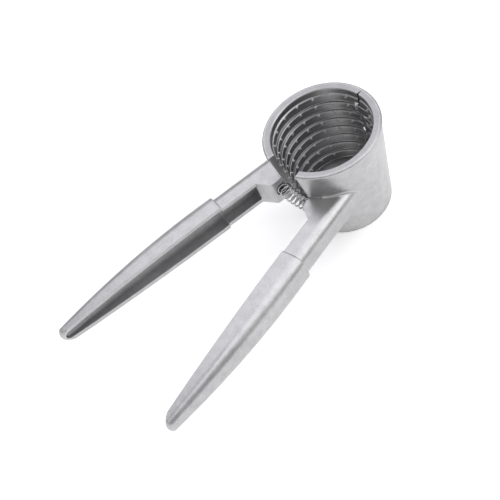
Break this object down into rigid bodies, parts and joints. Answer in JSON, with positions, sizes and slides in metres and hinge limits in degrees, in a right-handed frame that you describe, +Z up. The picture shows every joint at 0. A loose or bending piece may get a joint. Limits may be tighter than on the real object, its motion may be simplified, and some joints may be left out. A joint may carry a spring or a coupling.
{
  "type": "nutcracker",
  "caption": "Hand nutcracker: a ribbed tapered cup split into two hinged halves, each cast in one piece with a long grip, parted by a compression spring.",
  "frame": {"origin": "middle of the footprint on the table it stands on: on the mirror plane between the halves, halfway from the tips of the grips to the back of the hinge", "axes": "+Z up, parallel to the cup's axis, towards its mouth; the grips point towards -Y; x = 0 is the mirror plane between the halves; the cup's axis is at y = 53.258 mm and the hinge axis at y = 78.258 mm"},
  "size_m": [0.0764, 0.1616, 0.0478],
  "materials": {
    "cast_aluminium": "satin tumbled casting",
    "pin_steel": "turned steel",
    "spring_steel": "drawn bright wire"
  },
  "bodies": {
    "right": {"right_half": "cast_aluminium", "hinge_pin": "pin_steel", "spring": "spring_steel"},
    "left": {"left_half": "cast_aluminium"}
  },
  "joints": [
    {"name": "jaw_hinge", "type": "hinge", "parent": "right", "child": "left", "pos_m": [0, 0.07826, 0.0315], "axis": [0, 0, 1], "range_deg": [0, 19], "stiffness_Nm_per_rad": 0.6, "springref_deg": -8.59, "deforming": ["spring"]}
  ]
}
